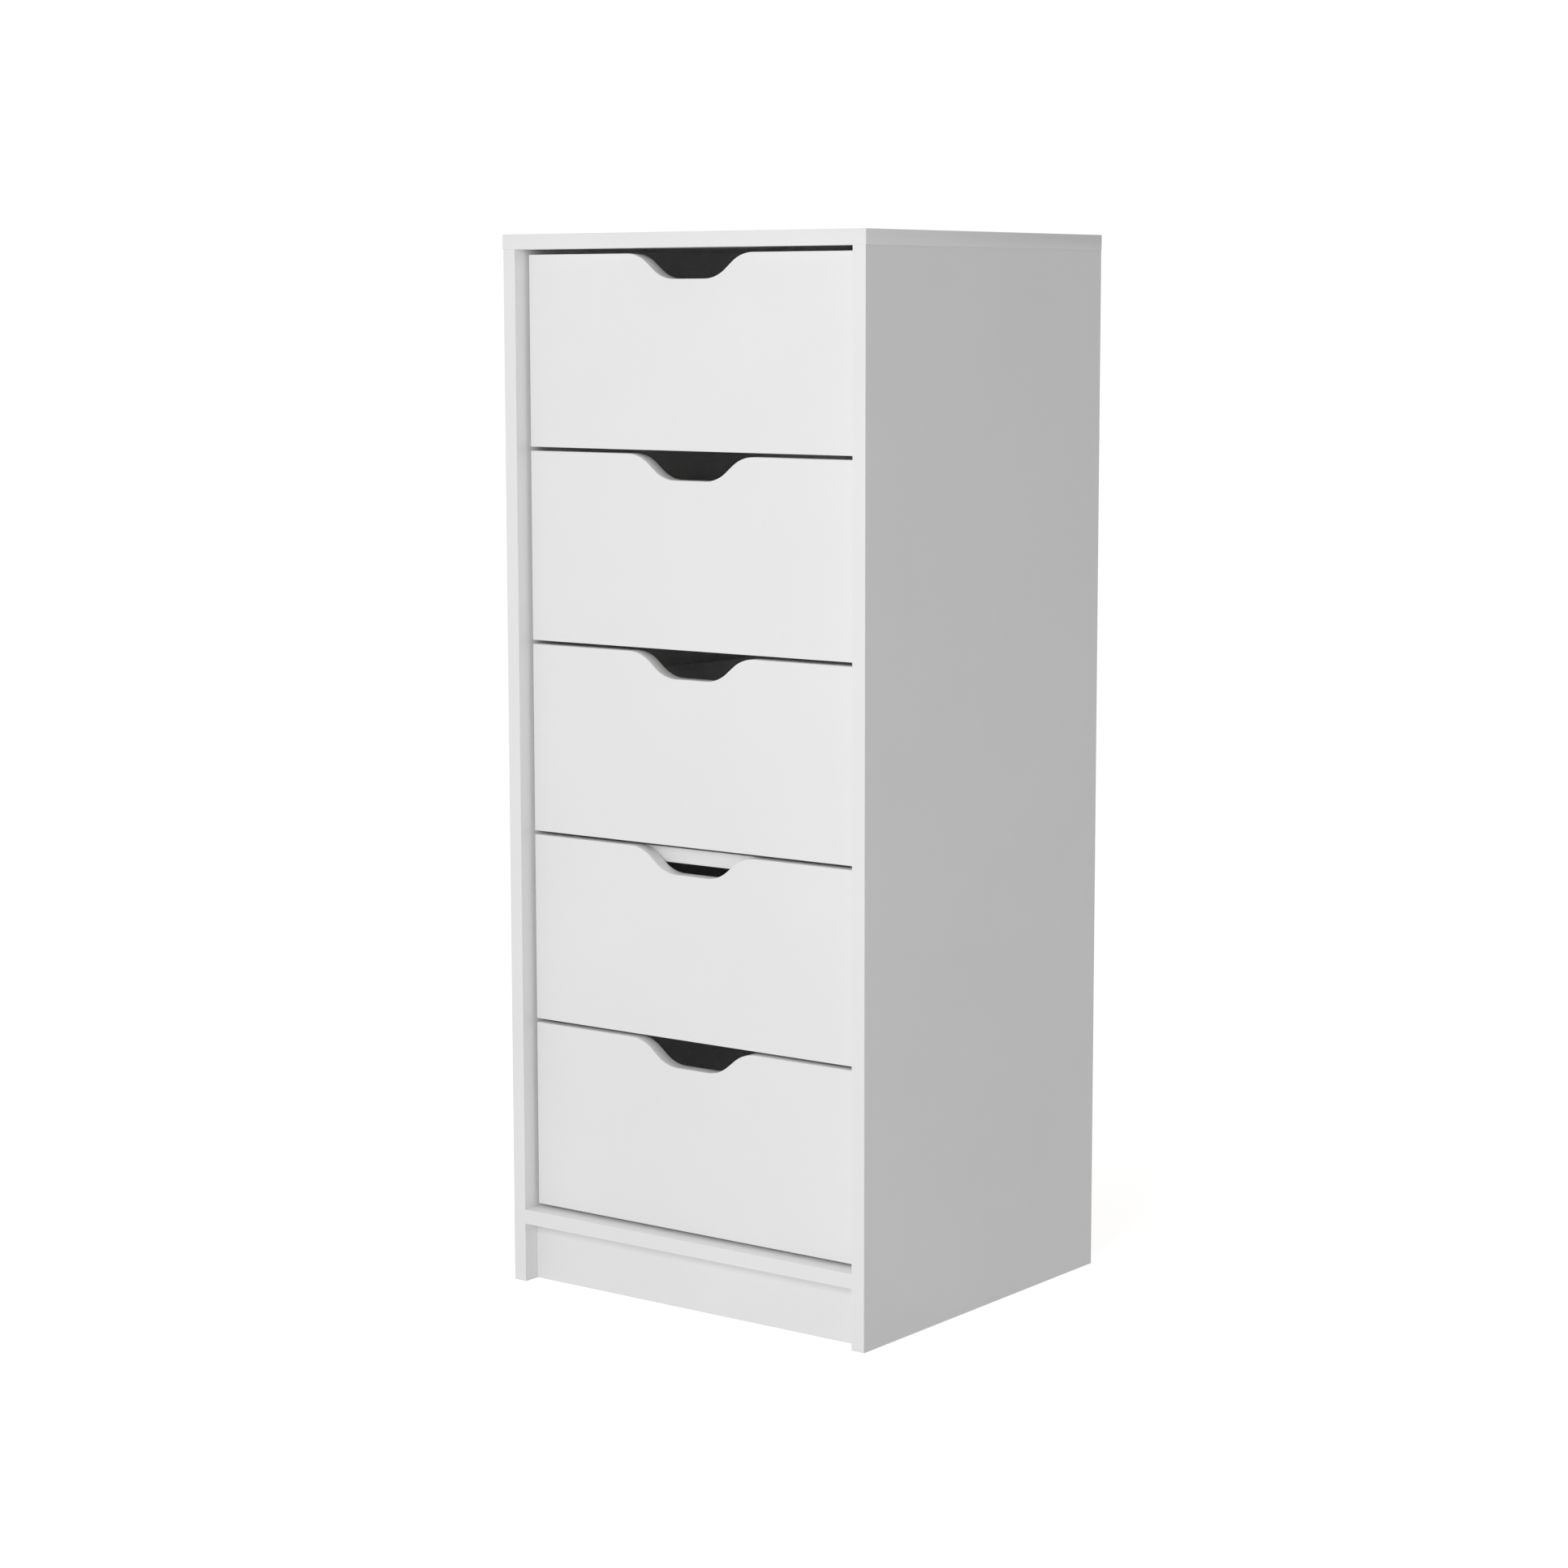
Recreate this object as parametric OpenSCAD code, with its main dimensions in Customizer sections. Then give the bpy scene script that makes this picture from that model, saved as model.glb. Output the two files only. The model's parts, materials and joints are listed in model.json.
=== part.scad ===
// Tall chest of drawers: a white board carcass with five inset drawers.
// Each drawer front has a scooped finger notch in the middle of its top edge.
// Millimetres, +Z up, +X to the right, drawer fronts facing -Y.
// Origin: on the floor, at the centre of the footprint.

/* [Overall] */
// Width over the top panel
overall_w = 450; // [370:1:560]
// Depth over the top panel
overall_d = 413; // [330:1:520]
// Height from the floor to the top face
overall_h = 1078; // [890:1:1320]

/* [Carcass] */
// Thickness of the carcass boards and drawer fronts
board_t = 15; // [12.5:0.5:19]
// How far the top panel stands out past the sides and past their front edges
top_overhang = 0.8; // [0:0.1:3]
// Height of the bottom panel's underside, which is the height of the plinth
kick_h = 61.5; // [45:0.5:90]
// How far the plinth stands back from the front edges of the sides
kick_setback = 19; // [10:1:60]
// Depth of the cross rail between the third and the fourth drawer
rail_d = 80; // [60:1:120]
// How far the rail's top face lies below the top edge of the fourth front
rail_drop = 1; // [0:0.5:4]
// Gap between the closed drawer fronts and the rail behind them
rail_clear = 3; // [1:0.5:8]

/* [Back panel] */
// Thickness of the hardboard back
back_t = 3; // [2.5:0.5:5]
// Distance from the rear edges of the sides to the back panel
back_setback = 9; // [6:0.5:20]
// Depth of the grooves that hold the back panel
back_groove = 6; // [4:0.5:8]

/* [Drawer fronts] */
// How far the fronts stand back from the front edges of the sides
front_inset = 17; // [5:0.5:30]
// Gap between a front and the side panel beside it
gap_side = 4; // [2:0.5:6]
// Gap between the top panel and the first front
gap_top = 5; // [2:0.5:8]
// Gap between one front and the next
gap_between = 4; // [2:0.5:8]
// Gap between the last front and the bottom panel
gap_bottom = 4; // [2:0.5:8]
// Depth of the finger notch
notch_depth = 25; // [18:1:40]
// Width of the flat part of the notch
notch_flat = 38; // [20:1:80]
// Radius of the hollow and the round shoulder at each end of the notch
notch_r = 40; // [20:1:50]
// Steepest slope of the notch's ends, in degrees
notch_angle = 39; // [30:1:45]

/* [Drawer boxes] */
// Thickness of the drawer sides and back
box_t = 12; // [10:0.5:15]
// Gap between a drawer box and the side panel beside it
box_gap = 5; // [4:0.5:8]
// Height of the box's lower edge above the front's lower edge
box_lift = 12; // [6:1:20]
// How far the box's upper edge lies below the front's upper edge
box_top_drop = 40; // [34:1:70]
// Space between a closed drawer box and the back panel
box_rear_clear = 18; // [10:1:40]
// Thickness of the drawer bottom
bottom_t = 3; // [2.5:0.5:5]
// Height of the drawer bottom above the lower edges of the drawer sides
bottom_up = 10; // [8:0.5:16]
// Depth of the grooves that hold the drawer bottom
bottom_groove = 6; // [4:0.5:7]
// Clearance of a thin panel in its groove, on each side
panel_clear = 0.2; // [0.1:0.05:0.4]

/* [Runners] */
// Height of a runner strip
runner_h = 14; // [10:0.5:18]
// Depth of the groove along the drawer side that rides on the runner
runner_groove = 6; // [4:0.5:7]
// Clearance between a runner and its groove, on each side
runner_clear = 0.5; // [0.3:0.05:1]
// Gap between the front end of a runner and the closed drawer front
runner_stop = 1; // [0.5:0.5:3]
// How far short of the drawer box the runner ends at the back
runner_short = 20; // [10:1:60]
// Length of the lead-in taper at the front end of a runner
runner_lead = 8; // [4:1:14]
// Distance from each end of a runner to its end screw
runner_screw_inset = 25; // [20:1:60]

/* [Fixings] */
// Distance from the front and rear edges to the cam fittings
joint_inset = 60; // [45:1:100]
// Distance from a board's end to the middle of the cam
cam_edge = 24; // [20:1:34]
// Diameter of the carcass cams
cam_d = 15; // [12:0.5:16]
// Height of the carcass cams
cam_h = 11.5; // [10:0.5:12]
// Diameter of the cam bolt's shank
bolt_d = 6; // [5:0.5:7]
// Diameter of the cam bolt's threaded end
thread_d = 5; // [4:0.5:6]
// Length of the cam bolt's threaded end
thread_l = 10; // [8:0.5:11]
// Diameter of the dowels
dowel_d = 8; // [6:0.5:8]
// Length of a dowel in the end of a board
dowel_deep = 20; // [15:1:25]
// Length of a dowel in the face of a board
dowel_face = 10; // [8:0.5:11]
// Distance between a cam fitting and the dowel beside it
dowel_pitch = 32; // [24:1:48]
// Diameter of the drawer cams
small_cam_d = 12; // [10:0.5:12]
// Height of the drawer cams
small_cam_h = 8.5; // [6:0.5:9]
// Shank diameter of the drawer screws and runner screws
screw_d = 3.5; // [3:0.5:4]
// Head diameter of the drawer screws and runner screws
screw_head_d = 7; // [6:0.5:8]
// Length of the drawer screws
screw_l = 35; // [25:1:45]
// How deep the runner screws reach into the side panels
runner_bite = 9; // [6:0.5:11]
// Distance from the upper and lower edges of a drawer box to its cams and screws
box_fix_inset = 28; // [20:1:34]
// Head diameter of the nails in the back panel
nail_head_d = 5; // [4:0.5:6]
// Shank diameter of the nails in the back panel
nail_d = 1.6; // [1.2:0.1:2]
// Length of the nails in the back panel
nail_l = 20; // [15:1:25]
// Clearance around a fixing in its bore
bore_clear = 0.15; // [0.1:0.05:0.3]

/* [Hidden] */
$fn = 64;

drawer_count = 5;
rail_drawer = 4;
arc_steps = 13;
white = "whitesmoke";
inside = "gainsboro";
over = 1;

// Carcass
body_w = overall_w - 2 * top_overhang;
inner_w = body_w - 2 * board_t;
front_edge_y = -overall_d / 2 + top_overhang;
rear_y = overall_d / 2;
side_d = rear_y - front_edge_y;
side_h = overall_h - board_t;
deck_top = kick_h + board_t;
back_y = rear_y - back_setback - back_t;
back_reach = back_groove - panel_clear;

// Drawers, counted from the top
front_y = front_edge_y + front_inset;
box_y = front_y + board_t;
front_w = inner_w - 2 * gap_side;
front_h = (side_h - deck_top - gap_top - gap_bottom - (drawer_count - 1) * gap_between) / drawer_count;
box_w = inner_w - 2 * box_gap;
box_inner_w = box_w - 2 * box_t;
box_l = back_y - box_y - box_rear_clear;
box_h = front_h - box_lift - box_top_drop;
bottom_reach = bottom_groove - panel_clear;
function front_z(i) = deck_top + gap_bottom + (drawer_count - i) * (front_h + gap_between);
function box_z(i) = front_z(i) + box_lift;

// Rail and plinth
rail_y = box_y + rail_clear;
rail_z = front_z(rail_drawer) + front_h - rail_drop - board_t;
plinth_y = front_edge_y + kick_setback;

// Runners
runner_t = box_gap + runner_groove - runner_clear;
runner_y = box_y + runner_stop;
runner_l = box_l - runner_stop - runner_short;
runner_up = box_h / 2;
groove_h = runner_h + 2 * runner_clear;
runner_screw_at = [runner_screw_inset, runner_l / 2, runner_l - runner_screw_inset];

// Board joints on the right-hand half, each as [place, turn]. The local +Z axis runs from the end of
// one board into the face of the other, and the cam's pocket opens towards the local +Y axis.
side_mid_x = inner_w / 2 + board_t / 2;
top_turn = [0, 0, 90];
panel_turn = [-90, 0, -90];
plinth_turn = [0, 90, 0];
panel_mid_z = kick_h + board_t / 2;
rail_mid_z = rail_z + board_t / 2;
plinth_mid_y = plinth_y + board_t / 2;
front_joint_y = front_edge_y + joint_inset;
rear_joint_y = rear_y - joint_inset;
cam_places = [
    [[side_mid_x, front_joint_y, side_h], top_turn],
    [[side_mid_x, rear_joint_y, side_h], top_turn],
    [[inner_w / 2, front_joint_y, panel_mid_z], panel_turn],
    [[inner_w / 2, rear_joint_y, panel_mid_z], panel_turn],
    [[inner_w / 2, rail_y + rail_d / 2 - dowel_pitch / 2, rail_mid_z], panel_turn],
    [[inner_w / 2, plinth_mid_y, kick_h / 2 + dowel_pitch / 2], plinth_turn]
];
dowel_places = [
    [[side_mid_x, front_joint_y + dowel_pitch, side_h], top_turn],
    [[side_mid_x, rear_joint_y - dowel_pitch, side_h], top_turn],
    [[inner_w / 2, front_joint_y + dowel_pitch, panel_mid_z], panel_turn],
    [[inner_w / 2, rear_joint_y - dowel_pitch, panel_mid_z], panel_turn],
    [[inner_w / 2, rail_y + rail_d / 2 + dowel_pitch / 2, rail_mid_z], panel_turn],
    [[inner_w / 2, plinth_mid_y, kick_h / 2 - dowel_pitch / 2], plinth_turn]
];

// Puts its children on the right-hand half as they are, or mirrored onto the left-hand half
module on_half(left) {
    mirror([left ? 1 : 0, 0, 0])
        children();
}

module at_places(places) {
    for (left = [false, true])
        on_half(left)
            for (p = places)
                translate(p[0])
                    rotate(p[1])
                        children();
}

// Cam with a cross recess in its face and a hole in its rim for the bolt.
// It fills a pocket in the face at local +Y, half_t from the bolt's axis.
module cam(d, h, half_t) {
    difference() {
        translate([0, half_t, -cam_edge])
            rotate([90, 0, 0])
                cylinder(d = d, h = h);
        translate([-0.7, half_t - 1.6, -cam_edge - d / 4])
            cube([1.4, 1.6 + over, d / 2]);
        translate([-d / 4, half_t - 1.6, -cam_edge - 0.7])
            cube([d / 2, 1.6 + over, 1.4]);
        translate([0, 0, -cam_edge])
            cylinder(d = bolt_d + 1, h = d);
    }
}

module cam_pocket(d, h, half_t) {
    translate([0, half_t + over, -cam_edge])
        rotate([90, 0, 0])
            cylinder(d = d + 2 * bore_clear, h = h + over + bore_clear);
}

// Cam bolt: threaded end, collar, shank, neck and head
module bolt() {
    cylinder(d = thread_d, h = thread_l);
    translate([0, 0, -cam_edge + 6])
        cylinder(d = bolt_d, h = cam_edge - 6);
    translate([0, 0, -cam_edge + 2])
        cylinder(d = bolt_d - 2, h = 4 + over);
    translate([0, 0, -cam_edge + 0.5])
        cylinder(d = bolt_d, h = 2);
}

module bolt_bore() {
    translate([0, 0, -over])
        cylinder(d = thread_d, h = thread_l + over + bore_clear);
    translate([0, 0, -cam_edge])
        cylinder(d = bolt_d + 2 * bore_clear, h = cam_edge);
}

module dowel() {
    translate([0, 0, -dowel_deep])
        rotate_extrude()
            polygon([
                [0, 0], [dowel_d / 2 - 1, 0], [dowel_d / 2, 1],
                [dowel_d / 2, dowel_deep + dowel_face - 1],
                [dowel_d / 2 - 1, dowel_deep + dowel_face], [0, dowel_deep + dowel_face]
            ]);
}

module dowel_bore() {
    translate([0, 0, -dowel_deep - 0.5])
        cylinder(d = dowel_d, h = dowel_deep + dowel_face + 1);
}

module joint_bores() {
    at_places(cam_places) {
        cam_pocket(cam_d, cam_h, board_t / 2);
        bolt_bore();
    }
    at_places(dowel_places)
        dowel_bore();
}

// Countersunk screw with its head's face at the origin and its point along -Z
module screw(length) {
    difference() {
        translate([0, 0, -(screw_head_d - screw_d) / 2])
            cylinder(d1 = screw_d, d2 = screw_head_d, h = (screw_head_d - screw_d) / 2);
        for (a = [0, 90])
            rotate([0, 0, a])
                translate([-screw_head_d / 4, -0.4, -1])
                    cube([screw_head_d / 2, 0.8, 1 + over]);
    }
    translate([0, 0, -length + screw_d])
        cylinder(d = screw_d, h = length - screw_d - (screw_head_d - screw_d) / 2);
    translate([0, 0, -length])
        cylinder(d1 = 0.6, d2 = screw_d, h = screw_d);
}

// Room for a screw of the same size, with an open countersink
module screw_bore(length) {
    translate([0, 0, -(screw_head_d - screw_d) / 2])
        cylinder(d1 = screw_d, d2 = screw_head_d, h = (screw_head_d - screw_d) / 2);
    cylinder(d = screw_head_d, h = over);
    translate([0, 0, -length - bore_clear])
        cylinder(d = screw_d, h = length + bore_clear);
}

// Places of the screws of one runner, on the right-hand half, head towards the drawer
module at_runner_screws(i) {
    for (y = runner_screw_at)
        translate([inner_w / 2 - runner_t, runner_y + y, box_z(i) + runner_up])
            rotate([0, -90, 0])
                children();
}

module side_panel(left) {
    color(white)
        on_half(left)
            difference() {
                translate([inner_w / 2, front_edge_y, 0])
                    cube([board_t, side_d, side_h]);
                translate([inner_w / 2 - over, back_y - panel_clear, kick_h])
                    cube([back_groove + over, back_t + 2 * panel_clear, side_h]);
                joint_bores();
                for (i = [1:drawer_count])
                    at_runner_screws(i)
                        screw_bore(runner_t + runner_bite);
            }
}

module top_panel() {
    color(white)
        difference() {
            translate([-overall_w / 2, -overall_d / 2, side_h])
                cube([overall_w, overall_d, board_t]);
            translate([-inner_w / 2 - back_groove, back_y - panel_clear, side_h - over])
                cube([inner_w + 2 * back_groove, back_t + 2 * panel_clear, back_groove + over]);
            joint_bores();
        }
}

module bottom_panel() {
    color(white)
        difference() {
            translate([-inner_w / 2, front_edge_y, kick_h])
                cube([inner_w, back_y - front_edge_y, board_t]);
            joint_bores();
            at_back_nails()
                nail_bore();
        }
}

module plinth() {
    color(white)
        difference() {
            translate([-inner_w / 2, plinth_y, 0])
                cube([inner_w, board_t, kick_h]);
            joint_bores();
        }
}

module cross_rail() {
    color(white)
        difference() {
            translate([-inner_w / 2, rail_y, rail_z])
                cube([inner_w, rail_d, board_t]);
            joint_bores();
        }
}

module back_panel() {
    color(inside)
        difference() {
            translate([-inner_w / 2 - back_reach, back_y, kick_h])
                cube([inner_w + 2 * back_reach, back_t, side_h - kick_h + back_reach]);
            at_back_nails()
                nail_bore();
        }
}

// Nails through the back panel into the rear edge of the bottom panel, head at the back
module at_back_nails() {
    for (u = [-3, -1, 1, 3])
        translate([u * inner_w / 8, back_y + back_t, panel_mid_z])
            rotate([-90, 0, 0])
                children();
}

module nail() {
    cylinder(d = nail_head_d, h = 0.8);
    translate([0, 0, -nail_l])
        cylinder(d = nail_d, h = nail_l + over / 2);
}

module nail_bore() {
    translate([0, 0, -nail_l])
        cylinder(d = nail_d, h = nail_l + over);
}

module carcass_cams() {
    color("silver")
        at_places(cam_places)
            cam(cam_d, cam_h, board_t / 2);
}

module carcass_bolts() {
    color("darkgray")
        at_places(cam_places)
            bolt();
}

module carcass_dowels() {
    color("burlywood")
        at_places(dowel_places)
            dowel();
}

module back_nails() {
    color("silver")
        at_back_nails()
            nail();
}

module runner_screws() {
    color("silver")
        for (left = [false, true])
            on_half(left)
                for (i = [1:drawer_count])
                    at_runner_screws(i)
                        screw(runner_t + runner_bite);
}

// Runner strip, tapered at the front end so that the groove finds it
module runner(i, left) {
    color("white")
        on_half(left)
            difference() {
                translate([inner_w / 2 - runner_t, runner_y, box_z(i) + runner_up])
                    rotate([90, 0, 90])
                        linear_extrude(runner_t)
                            polygon([
                                [0, -runner_h / 4], [runner_lead, -runner_h / 2],
                                [runner_l, -runner_h / 2], [runner_l, runner_h / 2],
                                [runner_lead, runner_h / 2], [0, runner_h / 4]
                            ]);
                at_runner_screws(i)
                    screw_bore(runner_t + runner_bite);
            }
}

// Points along an arc, from one angle to another
function arc(centre, r, from, to) = [
    for (k = [0:arc_steps])
        let (angle = from + (to - from) * k / arc_steps)
            [centre[0] + r * cos(angle), centre[1] + r * sin(angle)]
];

// Right-hand half of the notch, from the end of the flat to the front's top edge at zero height:
// a hollow arc, a straight slope and a round shoulder
function half_notch() =
    let (
        rise = notch_depth - 2 * notch_r * (1 - cos(notch_angle)),
        run = 2 * notch_r * sin(notch_angle) + rise / tan(notch_angle),
        flat_end = notch_flat / 2
    )
        concat(
            arc([flat_end, notch_r - notch_depth], notch_r, -90, notch_angle - 90),
            arc([flat_end + run, -notch_r], notch_r, 90 + notch_angle, 90)
        );

// Outline of a drawer front, lower left corner first
function front_outline() =
    let (right = half_notch(), last = len(right) - 1)
        concat(
            [[-front_w / 2, 0], [front_w / 2, 0], [front_w / 2, front_h]],
            [for (k = [0:last]) [right[last - k][0], front_h + right[last - k][1]]],
            [for (p = right) [-p[0], front_h + p[1]]],
            [[-front_w / 2, front_h]]
        );

// Groove for the drawer bottom, cut into the front, the sides and the back alike
module bottom_groove_cut(i) {
    translate([
        -box_inner_w / 2 - bottom_groove,
        box_y - bottom_groove,
        box_z(i) + bottom_up - panel_clear
    ])
        cube([
            box_inner_w + 2 * bottom_groove,
            box_l - box_t + 2 * bottom_groove,
            bottom_t + 2 * panel_clear
        ]);
}

// Cams that draw the right-hand drawer side against the front
module at_drawer_cams(i) {
    for (z = [box_fix_inset, box_h - box_fix_inset])
        translate([box_w / 2 - box_t / 2, box_y, box_z(i) + z])
            rotate([90, -90, 0])
                children();
}

// Screws through the right-hand drawer side into the end of the back
module at_drawer_screws(i) {
    for (z = [box_fix_inset, box_h - box_fix_inset])
        translate([box_w / 2, box_y + box_l - box_t / 2, box_z(i) + z])
            rotate([0, 90, 0])
                children();
}

module drawer_front(i) {
    color(white)
        difference() {
            translate([0, box_y, front_z(i)])
                rotate([90, 0, 0])
                    linear_extrude(board_t)
                        polygon(front_outline());
            bottom_groove_cut(i);
        }
}

module drawer_side(i, left) {
    color(inside)
        on_half(left)
            difference() {
                translate([box_w / 2 - box_t, box_y, box_z(i)])
                    cube([box_t, box_l, box_h]);
                translate([
                    box_w / 2 - runner_groove,
                    box_y - over,
                    box_z(i) + runner_up - groove_h / 2
                ])
                    cube([runner_groove + over, box_l + 2 * over, groove_h]);
                bottom_groove_cut(i);
                at_drawer_cams(i)
                    cam_pocket(small_cam_d, small_cam_h, box_t / 2);
                at_drawer_screws(i)
                    screw_bore(screw_l);
            }
}

module drawer_back(i) {
    color(inside)
        difference() {
            translate([-box_inner_w / 2, box_y + box_l - box_t, box_z(i)])
                cube([box_inner_w, box_t, box_h]);
            bottom_groove_cut(i);
            for (left = [false, true])
                on_half(left)
                    at_drawer_screws(i)
                        screw_bore(screw_l);
        }
}

module drawer_bottom(i) {
    color(inside)
        translate([-box_inner_w / 2 - bottom_reach, box_y - bottom_reach, box_z(i) + bottom_up])
            cube([
                box_inner_w + 2 * bottom_reach,
                box_l - box_t + 2 * bottom_reach,
                bottom_t
            ]);
}

module drawer_cams(i) {
    color("silver")
        for (left = [false, true])
            on_half(left)
                at_drawer_cams(i)
                    cam(small_cam_d, small_cam_h, box_t / 2);
}

module drawer_screws(i) {
    color("silver")
        for (left = [false, true])
            on_half(left)
                at_drawer_screws(i)
                    screw(screw_l);
}

side_panel(true);  // side_left
side_panel(false);  // side_right
top_panel();
bottom_panel();
plinth();
cross_rail();
back_panel();
carcass_cams();
carcass_bolts();
carcass_dowels();
back_nails();
runner_screws();
runner(1, true);  // runner_left_1
runner(2, true);  // runner_left_2
runner(3, true);  // runner_left_3
runner(4, true);  // runner_left_4
runner(5, true);  // runner_left_5
runner(1, false);  // runner_right_1
runner(2, false);  // runner_right_2
runner(3, false);  // runner_right_3
runner(4, false);  // runner_right_4
runner(5, false);  // runner_right_5
drawer_front(1);  // drawer_front_1
drawer_side(1, true);  // drawer_side_left_1
drawer_side(1, false);  // drawer_side_right_1
drawer_back(1);  // drawer_back_1
drawer_bottom(1);  // drawer_bottom_1
drawer_cams(1);  // drawer_cams_1
drawer_screws(1);  // drawer_screws_1
drawer_front(2);  // drawer_front_2
drawer_side(2, true);  // drawer_side_left_2
drawer_side(2, false);  // drawer_side_right_2
drawer_back(2);  // drawer_back_2
drawer_bottom(2);  // drawer_bottom_2
drawer_cams(2);  // drawer_cams_2
drawer_screws(2);  // drawer_screws_2
drawer_front(3);  // drawer_front_3
drawer_side(3, true);  // drawer_side_left_3
drawer_side(3, false);  // drawer_side_right_3
drawer_back(3);  // drawer_back_3
drawer_bottom(3);  // drawer_bottom_3
drawer_cams(3);  // drawer_cams_3
drawer_screws(3);  // drawer_screws_3
drawer_front(4);  // drawer_front_4
drawer_side(4, true);  // drawer_side_left_4
drawer_side(4, false);  // drawer_side_right_4
drawer_back(4);  // drawer_back_4
drawer_bottom(4);  // drawer_bottom_4
drawer_cams(4);  // drawer_cams_4
drawer_screws(4);  // drawer_screws_4
drawer_front(5);  // drawer_front_5
drawer_side(5, true);  // drawer_side_left_5
drawer_side(5, false);  // drawer_side_right_5
drawer_back(5);  // drawer_back_5
drawer_bottom(5);  // drawer_bottom_5
drawer_cams(5);  // drawer_cams_5
drawer_screws(5);  // drawer_screws_5
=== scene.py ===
import json
import math

import bmesh
import bpy
import numpy as np
from mathutils import Matrix, Vector


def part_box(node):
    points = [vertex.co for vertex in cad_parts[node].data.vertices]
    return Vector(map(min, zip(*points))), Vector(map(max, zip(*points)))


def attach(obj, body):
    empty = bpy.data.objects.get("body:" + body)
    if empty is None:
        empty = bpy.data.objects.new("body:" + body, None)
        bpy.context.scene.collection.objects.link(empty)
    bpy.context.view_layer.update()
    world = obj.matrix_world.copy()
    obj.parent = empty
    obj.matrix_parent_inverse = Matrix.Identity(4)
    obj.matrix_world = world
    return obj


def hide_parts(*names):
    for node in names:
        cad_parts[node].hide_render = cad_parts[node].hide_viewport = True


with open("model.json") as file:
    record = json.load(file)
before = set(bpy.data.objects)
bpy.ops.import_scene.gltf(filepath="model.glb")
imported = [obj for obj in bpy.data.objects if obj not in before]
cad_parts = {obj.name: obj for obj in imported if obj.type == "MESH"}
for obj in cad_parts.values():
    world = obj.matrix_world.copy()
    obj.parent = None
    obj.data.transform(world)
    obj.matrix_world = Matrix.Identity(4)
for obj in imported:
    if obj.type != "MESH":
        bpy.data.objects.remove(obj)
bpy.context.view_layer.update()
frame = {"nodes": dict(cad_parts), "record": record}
scene = bpy.context.scene
parts = frame["nodes"]
bodies = frame["record"]["behaviour"]["bodies"]
bodyOf = {part: body for body, members in bodies.items() for part in members}
drawerNumbers = range(1, 6)
print("frame loaded:", len(parts), "parts")


# rounding of the boards' arrises and corners, and the angles in degrees that tell a flat from an edge
boards = dict(
    arris=0.0006, corner=0.0009, cutArris=0.0005, thinArris=0.0003,
    flatWithin=0.6, sharpFrom=30, softenFrom=32,
)


# node helpers: one call puts a node in a tree, sets it and links what is handed to its inputs
def put(tree, kind, inputs=None, **settings):
    made = tree.nodes.new(kind)
    for key, value in settings.items():
        setattr(made, key, value)
    for key, value in (inputs or {}).items():
        if isinstance(value, bpy.types.NodeSocket):
            tree.links.new(value, made.inputs[key])
        else:
            made.inputs[key].default_value = value
    return made


def newFinish(name):
    finish = bpy.data.materials.new(name)
    finish.use_nodes = True
    tree = finish.node_tree
    place = put(tree, "ShaderNodeTexCoord").outputs["Object"]
    return finish, tree, tree.nodes["Principled BSDF"], place


def noiseAt(tree, place, scale, detail=2.0, roughness=0.5, distortion=0.0):
    return put(tree, "ShaderNodeTexNoise", {
        "Vector": place, "Scale": scale, "Detail": detail, "Roughness": roughness, "Distortion": distortion,
    }).outputs["Fac"]


def spread(tree, value, low, high, fromLow=0.3, fromHigh=0.7):
    return put(tree, "ShaderNodeMapRange", {
        "Value": value, "From Min": fromLow, "From Max": fromHigh, "To Min": low, "To Max": high,
    }).outputs["Result"]


def calc(tree, operation, first, second):
    return put(tree, "ShaderNodeMath", {0: first, 1: second}, operation=operation).outputs[0]


def stretched(tree, place, scale):
    return put(tree, "ShaderNodeMapping", {"Vector": place, "Scale": scale}).outputs["Vector"]


def blendTint(tree, factor, first, second):
    mix = put(tree, "ShaderNodeMix", data_type="RGBA")
    for socket, value in zip((mix.inputs[0], mix.inputs[6], mix.inputs[7]), (factor, first, second)):
        if isinstance(value, bpy.types.NodeSocket):
            tree.links.new(value, socket)
        else:
            socket.default_value = value
    return mix.outputs[2]


def grey(level, warmth=0.0):
    return (level * (1 + warmth), level, level * (1 - warmth), 1)


laminate = dict(
    tone=0.885, toneSpread=0.010, warmth=0.002, cloudScale=5.0,
    speckScale=620.0, speckTone=0.86, speckShare=0.16,   # faint darker specks in the paper
    pearlScale=1400.0, pearlDepth=0.000012,   # fine pressed pearl of the melamine paper
    waveScale=38.0, waveDepth=0.00004,        # slow swell that bends wide reflections
    scuffScale=24.0, gloss=(0.40, 0.50), specular=0.5,
)


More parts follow.
